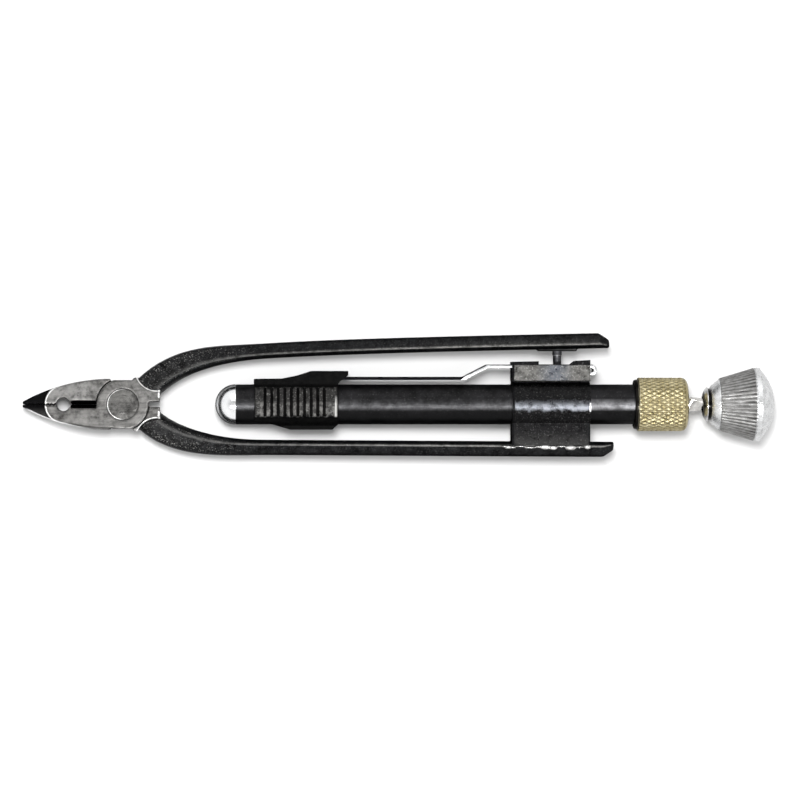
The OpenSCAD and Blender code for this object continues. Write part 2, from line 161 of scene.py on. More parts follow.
def swept_handle(rings, side):
    """A ring of vertices in the section's shape, extruded from station to station."""
    outline = [(u * side, v) for u, v in SECTION] + [(u * side, -v) for u, v in SECTION[-2:0:-1]]
    bpy.ops.mesh.primitive_circle_add(vertices=len(outline), radius=1, rotation=(0, math.pi / 2, 0))
    piece = bpy.context.object
    bpy.ops.object.transform_apply(location=False, rotation=True, scale=False)
    for vertex, (u, v) in zip(piece.data.vertices, outline):
        vertex.co = (0, u, v)
    bpy.ops.object.mode_set(mode="EDIT")
    bpy.ops.mesh.select_all(action="SELECT")
    bpy.ops.mesh.edge_face_add()
    place, turn, size = Vector((0, 0, 0)), 0.0, (1.0, 1.0)
    for number, (x, y, heading, width, half) in enumerate(rings):
        if number:
            bpy.ops.mesh.extrude_region_move()
            bpy.ops.transform.rotate(value=turn, orient_axis="Z", center_override=place)
        goal = Vector((x, y, 0)) * MM
        bpy.ops.transform.translate(value=goal - place)
        scale = (width / 2 * MM, half * MM)
        bpy.ops.transform.resize(value=(1, scale[0] / size[0], scale[1] / size[1]),
                                 center_override=goal)
        bpy.ops.transform.rotate(value=-heading, orient_axis="Z", center_override=goal)
        place, turn, size = goal, heading, scale
    bpy.ops.mesh.select_all(action="SELECT")
    bpy.ops.mesh.normals_make_consistent(inside=False)
    bpy.ops.object.mode_set(mode="OBJECT")
    return applied(piece, "SUBSURF", levels=1, render_levels=1)


def forged_half(node, name, bend, grip, side):
    """The head is cut from the CAD half, the swept handle is joined on, and both are remeshed
    together, so the joint and all edges come out rounded as on a tumbled forging."""
    head = copy_of(node, name)
    bpy.ops.object.mode_set(mode="EDIT")
    bpy.ops.mesh.select_all(action="SELECT")
    bpy.ops.mesh.bisect(plane_co=(HEAD_END, 0, 0), plane_no=(1, 0, 0), clear_outer=True, use_fill=True)
    bpy.ops.object.mode_set(mode="OBJECT")
    handle = swept_handle(handle_stations(bend, grip, side), side)
    if side > 0:
        bpy.ops.mesh.primitive_cube_add(size=1, location=PAD_PLACE)
        pad = bpy.context.object
        pad.scale = PAD_SIZE
        bpy.ops.object.transform_apply(location=True, rotation=False, scale=True)
        pad.select_set(True)
    handle.select_set(True)
    head.select_set(True)
    bpy.context.view_layer.objects.active = head
    bpy.ops.object.join()
    applied(head, "REMESH", mode="VOXEL", voxel_size=FORGING_VOXEL, use_smooth_shade=True)
    applied(head, "SMOOTH", factor=0.5, iterations=4)
    # The two cutting ridges meet at half depth, so the slot is closed.
    for vertex in head.data.vertices:
        x, y, z = vertex.co / MM
        if 2.6 < x < 10.2 and abs(y) < 0.32 and abs(z + 1) < 1.2:
            vertex.co.y = math.copysign(0.02 * MM, y)
    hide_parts(node)
    return head


upper_handle_half = forged_half("moving_half", "moving_half_forging", UPPER_BEND, UPPER_GRIP, 1)
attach(upper_handle_half, "moving_jaw")
lower_handle_half = forged_half("fixed_half", "fixed_half_forging", LOWER_BEND, LOWER_GRIP, -1)
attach(lower_handle_half, "frame")


def link(tree, source, target):
    tree.links.new(source, target)


def shader_node(tree, kind, settings=None, **inputs):
    """A node with its settings and its unlinked input values; inputs are named by their labels."""
    made = tree.nodes.new("ShaderNode" + kind)
    for key, value in (settings or {}).items():
        setattr(made, key, value)
    for key, value in inputs.items():
        socket = made.inputs[int(key[1:])] if key[1:].isdigit() else made.inputs[key.replace("_", " ")]
        if isinstance(value, bpy.types.NodeSocket):
            link(tree, value, socket)
        else:
            socket.default_value = value
    return made


def maths(tree, operation, first, second=0.0, clamp=False):
    made = shader_node(tree, "Math", {"operation": operation, "use_clamp": clamp}, i0=first, i1=second)
    return made.outputs[0]


def mixed(tree, factor, first, second):
    """The first colour where the factor is 0 and the second where it is 1; all may be sockets."""
    made = shader_node(tree, "Mix", {"data_type": "RGBA"})
    for socket, value in ((made.inputs["Factor"], factor), (made.inputs[6], first), (made.inputs[7], second)):
        if isinstance(value, bpy.types.NodeSocket):
            link(tree, value, socket)
        elif isinstance(value, (int, float)):
            socket.default_value = value
        else:
            socket.default_value = (*value, 1)
    return made.outputs[2]


def ranged(tree, value, low, high, to_low=0.0, to_high=1.0):
    made = shader_node(tree, "MapRange", None, Value=value, From_Min=low, From_Max=high,
                       To_Min=to_low, To_Max=to_high)
    return made.outputs[0]


def worn_surface_group():
    """Marks that metal picks up, as masks: Mottle is cloudy tone, Streaks are fine lines along the
    tool, Specks are small chips and pits, and Edge is where corners have rubbed."""
    tree = bpy.data.node_groups.new("Worn surface", "ShaderNodeTree")
    for name, value in (("Mottle Scale", 300.0), ("Streak Scale", 900.0), ("Speck Scale", 1500.0),
                        ("Edge Width", 0.0003)):
        tree.interface.new_socket(name, in_out="INPUT", socket_type="NodeSocketFloat").default_value = value
    for name in ("Mottle", "Streaks", "Specks", "Edge"):
        tree.interface.new_socket(name, in_out="OUTPUT", socket_type="NodeSocketFloat")
    given = tree.nodes.new("NodeGroupInput").outputs
    result = tree.nodes.new("NodeGroupOutput").inputs
    place = shader_node(tree, "TexCoord").outputs["Object"]
    mottle = shader_node(tree, "TexNoise", None, Vector=place, Scale=given["Mottle Scale"], Detail=5.0,
                         Roughness=0.62)
    link(tree, ranged(tree, mottle.outputs[0], 0.32, 0.68), result["Mottle"])
    drawn = shader_node(tree, "Mapping", None, Vector=place, Scale=(0.09, 1.0, 1.0))
    streaks = shader_node(tree, "TexNoise", None, Vector=drawn.outputs[0], Scale=given["Streak Scale"],
                          Detail=4.0, Roughness=0.7)
    link(tree, ranged(tree, streaks.outputs[0], 0.4, 0.66), result["Streaks"])
    specks = shader_node(tree, "TexNoise", None, Vector=place, Scale=given["Speck Scale"], Detail=3.0,
                         Roughness=0.75)
    link(tree, ranged(tree, specks.outputs[0], 0.56, 0.7), result["Specks"])
    rounded = shader_node(tree, "Bevel", {"samples": 6}, Radius=given["Edge Width"]).outputs[0]
    flat = shader_node(tree, "NewGeometry").outputs["Normal"]
    across = shader_node(tree, "VectorMath", {"operation": "DOT_PRODUCT"}, i0=rounded, i1=flat)
    link(tree, ranged(tree, across.outputs["Value"], 0.995, 0.9), result["Edge"])
    return tree


worn_surface = worn_surface_group()


def worn_marks(tree, mottle=300.0, streak=900.0, speck=1500.0, edge=0.0003):
    group = tree.nodes.new("ShaderNodeGroup")
    group.node_tree = worn_surface
    for name, value in (("Mottle Scale", mottle), ("Streak Scale", streak), ("Speck Scale", speck),
                        ("Edge Width", edge)):
        group.inputs[name].default_value = value
    return group.outputs


def new_finish(name, metallic, **sockets):
    material = bpy.data.materials.new(name)
    material.use_nodes = True
    tree = material.node_tree
    shader = tree.nodes["Principled BSDF"]
    shader.inputs["Metallic"].default_value = metallic
    for key, value in sockets.items():
        shader.inputs[key.replace("_", " ")].default_value = value
    return material, tree, shader


def surfaced(tree, shader, tone, rough, height=None, depth=0.0, strength=0.0):
    """Gives the shader its colour and roughness, and a bump where a height is passed."""
    link(tree, tone, shader.inputs["Base Color"])
    link(tree, rough, shader.inputs["Roughness"])
    if height is not None:
        bump = shader_node(tree, "Bump", None, Height=height, Distance=depth, Strength=strength)
        link(tree, bump.outputs[0], shader.inputs["Normal"])


def painted(piece, material):
    piece.data.materials.clear()
    piece.data.materials.append(material)
    return piece


def near(tree, value, middle, half_width, soft):
    """1 where the value lies within half_width of the middle, fading to 0 over the soft margin."""
    off = maths(tree, "ABSOLUTE", maths(tree, "SUBTRACT", value, middle))
    return ranged(tree, off, half_width + soft, half_width)


def distance_from(tree, split, x, y):
    """Distance in the XY plane from a point; both coordinates may be sockets."""
    across = maths(tree, "SUBTRACT", split["X"], x)
    up = maths(tree, "SUBTRACT", split["Y"], y)
    return maths(tree, "SQRT", maths(tree, "ADD", maths(tree, "MULTIPLY", across, across),
                                     maths(tree, "MULTIPLY", up, up)))


def product(tree, *factors):
    value = factors[0]
    for factor in factors[1:]:
        value = maths(tree, "MULTIPLY", value, factor)
    return value


def largest(tree, *values):
    value = values[0]
    for other in values[1:]:
        value = maths(tree, "MAXIMUM", value, other)
    return value


def object_axes(tree, output="Object"):
    place = shader_node(tree, "TexCoord").outputs[output]
    return shader_node(tree, "SeparateXYZ", None, Vector=place).outputs


def off_axis(tree, split):
    """Distance from the tool's long axis."""
    return distance_from(tree, {"X": split["Y"], "Y": split["Z"]}, 0.0, 0.0)


def layered(tree, tone, *layers):
    """A tone with (mask, colour) layers over it, the last one on top."""
    for mask, colour in layers:
        tone = mixed(tree, mask, tone, colour)
    return tone


def wobble(tree, mask, span):
    """A mask as an offset about 0, to make a border ragged."""
    return product(tree, maths(tree, "SUBTRACT", mask, 0.5), span)


def chipped(tree, marks, least, where):
    """Specks that are faint everywhere and strong where the other mask is."""
    return maths(tree, "MULTIPLY", marks["Specks"], maths(tree, "ADD", least, where), True)


def pitted(tree, marks):
    return maths(tree, "ADD", product(tree, marks["Mottle"], 0.7), marks["Specks"])


BARE_CHIP = (0.3, 0.295, 0.285)


def forging_finish():
    """Satin steel on the head, black oxide on the handle and the nose, and a painted highlight along
    the line where one ends and the other starts. The handle's crest is worn grey, under a painted
    highlight."""
    material, tree, shader = new_finish("Forged steel, black and satin", 0.95)
    marks = worn_marks(tree, mottle=520, streak=1300, speck=2100, edge=0.00045)
    broad = worn_marks(tree, mottle=130, streak=500)
    split = object_axes(tree)
    side = maths(tree, "ABSOLUTE", split["Y"])
    mirrored = {"X": split["X"], "Y": side}
    from_root = distance_from(tree, mirrored, 29.5 * MM, 11.0 * MM)
    from_eye = distance_from(tree, mirrored, 0.4 * MM, 0.0)

    ragged = wobble(tree, marks["Mottle"], 0.25 * MM)
    in_arc = ranged(tree, maths(tree, "ADD", from_root, ragged), 6.62 * MM, 6.45 * MM)
    past_root = ranged(tree, maths(tree, "ADD", split["X"], ragged), 30.4 * MM, 30.6 * MM)
    ahead = maths(tree, "LESS_THAN", split["X"], -1.0 * MM)
    nose = product(tree, ahead, ranged(tree, from_eye, 6.25 * MM, 6.4 * MM))
    black = largest(tree, in_arc, past_root, nose)

    # Painted highlight: bright lines on the step round the handle's root, round the nose and at the head's
    # rear edge.
    root_rim = product(tree, near(tree, from_root, 6.78 * MM, 0.06 * MM, 0.17 * MM),
                       maths(tree, "LESS_THAN", split["X"], 30.7 * MM))
    nose_rim = product(tree, ahead, near(tree, from_eye, 6.0 * MM, 0.12 * MM, 0.17 * MM),
                       ranged(tree, side, 5.6 * MM, 3.6 * MM, 0.5, 1.0))
    rear_edge = product(tree, near(tree, split["X"], 30.15 * MM, 0.15 * MM, 0.25 * MM),
                        near(tree, side, 3.6 * MM, 1.3 * MM, 0.3 * MM))
    bright = product(tree, largest(tree, root_rim, nose_rim, rear_edge),
                     ranged(tree, marks["Mottle"], 0.0, 0.6, 0.55, 0.95))

    # Painted shade: the slot between the jaws and the gaps between the teeth are made near black.
    slot_shade = product(tree, near(tree, split["X"], 6.4 * MM, 3.95 * MM, 0.1 * MM),
                      ranged(tree, side, 1.35 * MM, 1.2 * MM))
    tooth = maths(tree, "PINGPONG", split["X"], 0.6 * MM)
    tooth_line = maths(tree, "ADD", split["Y"], maths(tree, "SUBTRACT", tooth, 0.3 * MM))
    teeth_shade = product(tree, near(tree, tooth_line, 0.0, 0.2 * MM, 0.14 * MM),
                       maths(tree, "LESS_THAN", split["X"], -1.9 * MM))

    upper_jaw = product(tree, ranged(tree, split["Y"], 0.1 * MM, 0.5 * MM),
                        ranged(tree, split["X"], 11 * MM, 7 * MM),
                        ranged(tree, marks["Mottle"], 0.2, 0.8, 0.2, 0.75))
    jaw_edge = maths(tree, "SUBTRACT", 57.3 * MM, distance_from(tree, split, 15.0 * MM, 49.2 * MM))
    under = ranged(tree, split["Y"], -1.0 * MM, -2.0 * MM)
    # Painted shade: a dark band along the lower jaw's chamfered edge; lit_edge is a painted highlight on the
    # edge itself.
    chamfer_shade = product(tree, under, near(tree, jaw_edge, 0.55 * MM, 0.2 * MM, 0.3 * MM),
                      near(tree, split["X"], 8.9 * MM, 5.8 * MM, 3.0 * MM), 0.85)
    lit_edge = product(tree, under, ranged(tree, jaw_edge, 0.42 * MM, 0.25 * MM),
                       ranged(tree, split["X"], 9.0 * MM, -1.0 * MM, 0.1, 1.0))
    satin = layered(
        tree, mixed(tree, marks["Mottle"], (0.02, 0.0195, 0.0185), (0.14, 0.137, 0.132)),
        (ranged(tree, broad["Mottle"], 0.3, 0.85, 0.0, 0.6), (0.2, 0.196, 0.19)),
        (ranged(tree, broad["Streaks"], 0.3, 0.9, 0.0, 0.55), (0.025, 0.0245, 0.023)),
        (product(tree, marks["Streaks"], 0.2), (0.22, 0.216, 0.21)),
        (product(tree, marks["Specks"], 0.4), (0.07, 0.068, 0.066)),
        (product(tree, marks["Edge"], 0.5), (0.75, 0.75, 0.75)),
        (upper_jaw, (0.21, 0.207, 0.202)),
        (chamfer_shade, (0.02, 0.0195, 0.019)),
        (product(tree, lit_edge, 0.8), (0.92, 0.92, 0.92)),
        (bright, (0.96, 0.96, 0.95)),
        (largest(tree, slot_shade, teeth_shade), (0.006, 0.006, 0.006)))

    facing = maths(tree, "ABSOLUTE", object_axes(tree, "Normal")["Z"])
    # Painted highlight over real wear on the handles' up-facing crest, and painted light on the sloping faces
    # at the rear of the upper handle; none on the pad.
    crest = product(tree, ranged(tree, facing, 0.955, 0.99),
                    ranged(tree, split["X"], 35 * MM, 125 * MM, 0.2, 0.8))
    upper_rear = product(tree, ranged(tree, split["Y"], 0.0, 5.0 * MM), ranged(tree, facing, 0.9, 0.97),
                         ranged(tree, split["X"], 95 * MM, 140 * MM, 0.0, 0.32))
    off_pad = largest(tree, ranged(tree, split["Y"], 17.3 * MM, 17.6 * MM),
                      ranged(tree, split["Y"], 1 * MM, 0), ranged(tree, split["X"], 149 * MM, 148 * MM))
    crest = product(tree, largest(tree, crest, upper_rear), off_pad)
    root = product(tree, ranged(tree, split["X"], 50 * MM, 33 * MM), ranged(tree, facing, 0.8, 0.95))
    inner_edge = product(tree, near(tree, facing, 0.86, 0.06, 0.06),
                         ranged(tree, split["X"], 62 * MM, 40 * MM))
    rubbed = product(tree, largest(tree, crest, product(tree, root, 0.05)),
                     ranged(tree, marks["Mottle"], 0.1, 0.8, 0.35, 1.0))
    chip_zone = largest(tree, marks["Edge"], crest, product(tree, root, 0.25), inner_edge)
    nose_tone = layered(
        tree, mixed(tree, ranged(tree, split["Y"], -1.0 * MM, -3.0 * MM), (0.003, 0.003, 0.0033),
                    (0.03, 0.0295, 0.029)),
        (product(tree, lit_edge, 0.85), (0.9, 0.9, 0.9)))
    oxide = layered(
        tree, mixed(tree, marks["Mottle"], (0.002, 0.002, 0.0022), (0.019, 0.0195, 0.0205)),
        (rubbed, (0.17, 0.167, 0.16)),
        (chipped(tree, marks, 0.15, chip_zone), BARE_CHIP),
        (nose, nose_tone))

    rough_satin = product(tree, ranged(tree, marks["Streaks"], 0, 1, 0.34, 0.5),
                          maths(tree, "SUBTRACT", 1.0, black))
    rough_oxide = product(tree, ranged(tree, marks["Mottle"], 0, 1, 0.36, 0.5), black)
    surfaced(tree, shader, mixed(tree, black, satin, oxide),
             maths(tree, "ADD", rough_satin, rough_oxide), pitted(tree, marks), 0.07 * MM, 0.6)
    return material


forged_steel = forging_finish()
painted(upper_handle_half, forged_steel)
painted(lower_handle_half, forged_steel)

# ---------------------------------------------------------------------------------------------
# The pivot rivet is a plain steel rivet, peened into its recess on both faces and ground flush
# with the head, so only a fine ring shows.


def softened(node, name, width, segments=2, angle=35):
    """A copy of the CAD node with its sharp edges rounded to the given width."""
    piece = copy_of(node, name)
    applied(piece, "BEVEL", width=width, segments=segments, limit_method="ANGLE",
            angle_limit=math.radians(angle), use_clamp_overlap=True, harden_normals=False)
    wake(piece)
    bpy.ops.object.shade_smooth_by_angle(angle=math.radians(32))
    applied(piece, "WEIGHTED_NORMAL", keep_sharp=True, weight=100)
    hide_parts(node)
    return piece


def satin_steel(name, light, dark, rough=0.4):
    material, tree, shader = new_finish(name, 1.0)
    marks = worn_marks(tree, mottle=420, streak=1400, speck=2200, edge=0.0002)
    tone = layered(tree, mixed(tree, marks["Mottle"], dark, light),
                   (product(tree, marks["Streaks"], 0.3), dark),
                   (product(tree, marks["Edge"], 0.5), (0.85, 0.85, 0.85)))
    surfaced(tree, shader, tone, ranged(tree, marks["Streaks"], 0, 1, rough - 0.06, rough + 0.1),
             marks["Mottle"], 0.03 * MM, 0.4)
    return material


def rivet_finish():
    """Ground with the head, so as grey as it, with a painted highlight on its ring, fading out towards the
    back.
    """
    material, tree, shader = new_finish("Ground rivet", 0.95)
    marks = worn_marks(tree, mottle=520, streak=1300, speck=2100, edge=0.0002)
    broad = worn_marks(tree, mottle=130, streak=500)
    split = object_axes(tree)
    from_middle = distance_from(tree, split, 18.7 * MM, 0.0)
    # Painted highlight on the ring's front half.
    ring = product(tree, near(tree, from_middle, 4.72 * MM, 0.02 * MM, 0.13 * MM),
                   ranged(tree, marks["Mottle"], 0.0, 0.6, 0.5, 1.0),
                   ranged(tree, split["X"], 19.5 * MM, 16.5 * MM, 0.0, 0.8))
    tone = layered(
        tree, mixed(tree, marks["Mottle"], (0.015, 0.0147, 0.014), (0.11, 0.108, 0.104)),
        (ranged(tree, broad["Mottle"], 0.3, 0.85, 0.0, 0.5), (0.17, 0.167, 0.16)),
        (ranged(tree, broad["Streaks"], 0.3, 0.9, 0.0, 0.5), (0.02, 0.0195, 0.019)),
        (product(tree, marks["Specks"], 0.4), (0.07, 0.068, 0.066)),
        (ring, (0.95, 0.95, 0.94)))
    surfaced(tree, shader, tone, ranged(tree, marks["Streaks"], 0, 1, 0.34, 0.5),
             pitted(tree, marks), 0.07 * MM, 0.6)
    return material


rivet = painted(softened("pivot_rivet", "pivot_rivet_ground", 0.05 * MM), rivet_finish())
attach(rivet, "frame")

# ---------------------------------------------------------------------------------------------
# The centre tube is drawn steel tube, blued black, with a painted highlight along it and painted
# shade on its lower half. Its front is closed by a polished steel plug turned to a dome.


def tube_finish():
    """Blued black, with painted shade on the lower half and a painted highlight along its middle,
    strongest behind the bracket."""
    material, tree, shader = new_finish("Blued steel", 0.85)
    marks = worn_marks(tree, mottle=260, streak=1000, speck=1700, edge=0.0003)
    patches = worn_marks(tree, mottle=380, streak=700)["Mottle"]
    split = object_axes(tree)
    # Painted shade on the lower half, and a painted highlight along the middle, strongest behind the bracket.
    lower_shade = product(tree, ranged(tree, split["Y"], -1.6 * MM, -2.2 * MM), 0.75)
    highlight_band = product(tree, near(tree, split["Y"], -0.1 * MM, 0.5 * MM, 1.5 * MM),
                      ranged(tree, split["X"], 142 * MM, 166 * MM, 0.22, 0.9),
                      ranged(tree, patches, 0.1, 0.9, 0.3, 1.0))
    tone = layered(
        tree, mixed(tree, marks["Mottle"], (0.003, 0.003, 0.0032), (0.017, 0.0165, 0.018)),
        (chipped(tree, marks, 0.12, marks["Edge"]), (0.24, 0.24, 0.235)),
        (product(tree, marks["Edge"], 0.22), (0.3, 0.3, 0.3)),
        (lower_shade, (0.004, 0.004, 0.0043)),
        (highlight_band, (0.24, 0.24, 0.25)))
    surfaced(tree, shader, tone, ranged(tree, marks["Mottle"], 0, 1, 0.3, 0.46),
             maths(tree, "ADD", marks["Streaks"], marks["Specks"]), 0.03 * MM, 0.4)
    return material


tube = painted(softened("centre_tube", "centre_tube_blued", 0.25 * MM), tube_finish())
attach(tube, "frame")

PLUG_RADIUS = 6.35 * MM
PLUG_FRONT = 54.35 * MM
SPIGOT_PART = 0.81
bpy.ops.mesh.primitive_uv_sphere_add(segments=96, ring_count=64, radius=PLUG_RADIUS,
                                     location=(PLUG_FRONT, 0, 0), rotation=(0, math.pi / 2, 0))
plug = bpy.context.object
plug.name = "nose_plug_dome"
bpy.ops.object.transform_apply(location=True, rotation=True, scale=True)
bpy.ops.object.mode_set(mode="EDIT")
bpy.ops.mesh.select_all(action="SELECT")
bpy.ops.mesh.bisect(plane_co=(PLUG_FRONT, 0, 0), plane_no=(1, 0, 0), clear_outer=True, use_fill=False)
bpy.ops.mesh.select_all(action="DESELECT")
bpy.ops.mesh.select_non_manifold()
bpy.ops.mesh.extrude_region_move(TRANSFORM_OT_translate={"value": (0.1 * MM, 0, 0)})
bpy.ops.transform.resize(value=(1, SPIGOT_PART, SPIGOT_PART), center_override=(PLUG_FRONT, 0, 0))
bpy.ops.mesh.extrude_region_move(TRANSFORM_OT_translate={"value": (3.3 * MM, 0, 0)})
bpy.ops.mesh.edge_face_add()
bpy.ops.object.mode_set(mode="OBJECT")
bpy.ops.object.shade_smooth_by_angle(angle=math.radians(30))


def plug_finish():
    material, tree, shader = new_finish("Polished steel", 1.0)
    marks = worn_marks(tree, mottle=160, streak=2600, speck=2600)
    surfaced(tree, shader, mixed(tree, marks["Mottle"], (0.86, 0.875, 0.89), (0.97, 0.975, 0.98)),
             ranged(tree, marks["Streaks"], 0, 1, 0.16, 0.3))
    return material


painted(plug, plug_finish())
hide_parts("nose_plug")
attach(plug, "frame")

# ---------------------------------------------------------------------------------------------
# The bracket is folded from 1.1 mm sheet and blackened: a channel for the latch strip, a saddle
# on the tube and two legs over the lower handle, held there by two run-on weld beads.


def bracket_finish():
    """Blackened sheet: rough grey on the channel, a painted highlight along the top of the saddle and painted
    shade at two edges.
    """
    material, tree, shader = new_finish("Blackened sheet", 0.9)
    marks = worn_marks(tree, mottle=430, streak=1100, speck=1900, edge=0.0003)
    split = object_axes(tree)
    channel = near(tree, split["Y"], 10 * MM, 2.35 * MM, 0.15 * MM)
    lip = ranged(tree, split["Y"], 12.4 * MM, 12.55 * MM)
    blue = product(tree, near(tree, split["X"], 155.5 * MM, 1.0 * MM, 5.0 * MM), 0.6)
    rough_grey = layered(tree, mixed(tree, marks["Mottle"], (0.035, 0.034, 0.032), (0.15, 0.147, 0.139)),
                         (blue, (0.1, 0.112, 0.138)))
    ragged_y = maths(tree, "ADD", split["Y"], wobble(tree, marks["Mottle"], 1.4 * MM))
    # Painted highlight along the top of the saddle.
    saddle_highlight = product(tree, near(tree, ragged_y, -0.45 * MM, 0.8 * MM, 1.1 * MM),
                   ranged(tree, marks["Mottle"], 0.1, 0.8, 0.15, 0.6))
    foot = product(tree, ranged(tree, split["Y"], -8.5 * MM, -12.8 * MM), 0.16)
    # Painted shade: dark lines along the front edge and the lower rear edge.
    front_edge = ranged(tree, split["X"], 142.75 * MM, 142.55 * MM)
    rear_edge = product(tree, ranged(tree, split["X"], 166.2 * MM, 166.4 * MM),
                        ranged(tree, split["Y"], -6.2 * MM, -6.6 * MM))
    glint = product(tree, ranged(tree, split["X"], 166.32 * MM, 166.42 * MM),
                    near(tree, split["Y"], -0.9 * MM, 1.1 * MM, 0.5 * MM), 0.8)
    tone = layered(
        tree, mixed(tree, marks["Mottle"], (0.003, 0.003, 0.0032), (0.0095, 0.0094, 0.01)),
        (channel, rough_grey),
        (lip, (0.005, 0.005, 0.0055)),
        (saddle_highlight, (0.27, 0.284, 0.315)),
        (foot, (0.12, 0.119, 0.115)),
        (chipped(tree, marks, 0.2, channel), BARE_CHIP),
        (largest(tree, front_edge, rear_edge), (0.004, 0.004, 0.0045)),
        (glint, (0.95, 0.95, 0.96)))
    surfaced(tree, shader, tone, ranged(tree, marks["Mottle"], 0, 1, 0.25, 0.42),
             maths(tree, "ADD", marks["Mottle"], marks["Specks"]), 0.06 * MM, 0.6)
    return material


bracket = painted(softened("tube_bracket", "tube_bracket_folded", 0.22 * MM, segments=3, angle=40),
                  bracket_finish())
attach(bracket, "frame")

# Place along the handle, half-length and half-height of each blob of weld, in millimetres.
BEAD_BLOBS = [(139.6, 1.0, 0.45), (140.8, 1.2, 0.7), (142.3, 0.9, 0.5), (144.6, 1.9, 0.35), (147.8, 1.9, 0.4),
              (150.4, 1.0, 0.55), (152.6, 2.0, 1.0), (155.0, 1.5, 0.9), (157.6, 1.4, 0.4), (160.6, 1.9, 1.05),
              (163.4, 1.4, 0.4), (166.0, 1.2, 1.0)]
bead_parts = []
for face in (1, -1):
    for number, (x, length, height) in enumerate(BEAD_BLOBS):
        y = -13.5 + 0.2 * math.sin(number * 2.4 + face)
        bpy.ops.mesh.primitive_ico_sphere_add(
            subdivisions=3, radius=1, location=((x + 0.3 * (1 - face)) * MM, y * MM, face * 3.6 * MM))
        bead = bpy.context.object
        bead.scale = (length * MM, height * MM, 0.95 * MM)
        bead_parts.append(bead)
wake(bead_parts[0])
for bead in bead_parts:
    bead.select_set(True)
bpy.ops.object.join()
beads = bpy.context.object
beads.name = "weld_beads_run"
bpy.ops.object.transform_apply(location=True, rotation=True, scale=True)
applied(beads, "REMESH", mode="VOXEL", voxel_size=0.12 * MM, use_smooth_shade=True)
applied(beads, "SMOOTH", factor=0.5, iterations=3)
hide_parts("weld_beads")
painted(beads, satin_steel("Weld metal", (0.95, 0.945, 0.93), (0.3, 0.295, 0.29), rough=0.22))
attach(beads, "frame")

# ---------------------------------------------------------------------------------------------
# Inside the tube's rear: a washer that the spring bears on and a hardened nut whose twisted slot
# turns the tool. The brass cap that holds them is turned and diamond knurled.

ground = satin_steel("Ground steel", (0.42, 0.415, 0.41), (0.28, 0.275, 0.27))
hardened = satin_steel("Hardened steel", (0.2, 0.2, 0.21), (0.11, 0.11, 0.115), rough=0.38)
painted(frame["nodes"]["spring_stop"], ground)
painted(frame["nodes"]["twist_nut"], hardened)

KNURL_FROM, KNURL_TO = 182.3 * MM, 197.3 * MM
KNURL_AROUND = 34
KNURL_PITCH = 2.9 * MM
KNURL_DEPTH = 0.36 * MM
BARREL_FROM, BARREL_TO, BARREL_RADIUS = 182.4, 196.3, 8.52
CAP_ROWS, CAP_COLUMNS = 110, 320


def lathed(name, profile, columns):
    """A profile of (x, radius) corners spun about the tool's axis, in millimetres."""
    bpy.ops.mesh.primitive_circle_add(vertices=3, radius=1)
    piece = bpy.context.object
    piece.name = name
    piece.data.name = name
    bpy.ops.object.mode_set(mode="EDIT")
    bpy.ops.mesh.delete(type="VERT")
    bpy.ops.object.mode_set(mode="OBJECT")
    piece.data.vertices.add(len(profile))
    piece.data.edges.add(len(profile) - 1)
    for vertex, (x, radius) in zip(piece.data.vertices, profile):
        vertex.co = (x * MM, 0, radius * MM)
    for number, edge in enumerate(piece.data.edges):
        edge.vertices = (number, number + 1)
    piece.data.update()
    bpy.ops.object.mode_set(mode="EDIT")
    bpy.ops.mesh.select_all(action="SELECT")
    bpy.ops.mesh.spin(steps=columns, angle=2 * math.pi, center=(0, 0, 0), axis=(1, 0, 0))
    bpy.ops.mesh.select_all(action="SELECT")
    bpy.ops.mesh.remove_doubles(threshold=1e-6)
    bpy.ops.mesh.normals_make_consistent(inside=False)
    bpy.ops.object.mode_set(mode="OBJECT")
    bpy.ops.object.shade_smooth_by_angle(angle=math.radians(30))
    return piece


def pressed_in(vertex, depth):
    """Moves a vertex towards the tool's axis."""
    x, y, z = vertex.co
    keep = 1 - depth / math.hypot(y, z)
    vertex.co = (x, y * keep, z * keep)


def cap_profile():
    """Bore, front recess, knurled barrel with rounded ends, rear face and back to the bore."""
    barrel = [(BARREL_FROM + (BARREL_TO - BARREL_FROM) * i / CAP_ROWS, BARREL_RADIUS)
              for i in range(CAP_ROWS + 1)]
    front = [(193.6, 6.1), (190.6, 6.1), (190.6, 6.4), (181.7, 6.4), (181.0, 6.9), (181.0, 7.4),
             (181.15, 7.72), (181.5, 7.86), (182.1, 7.9), (182.25, 8.3)]
    rear = [(196.8, 8.4), (197.3, 8.1), (197.75, 7.6), (198.02, 7.0), (198.1, 6.4), (198.1, 3.0),
            (197.8, 2.75), (193.6, 2.75), (193.6, 6.1)]
    return front + barrel + rear


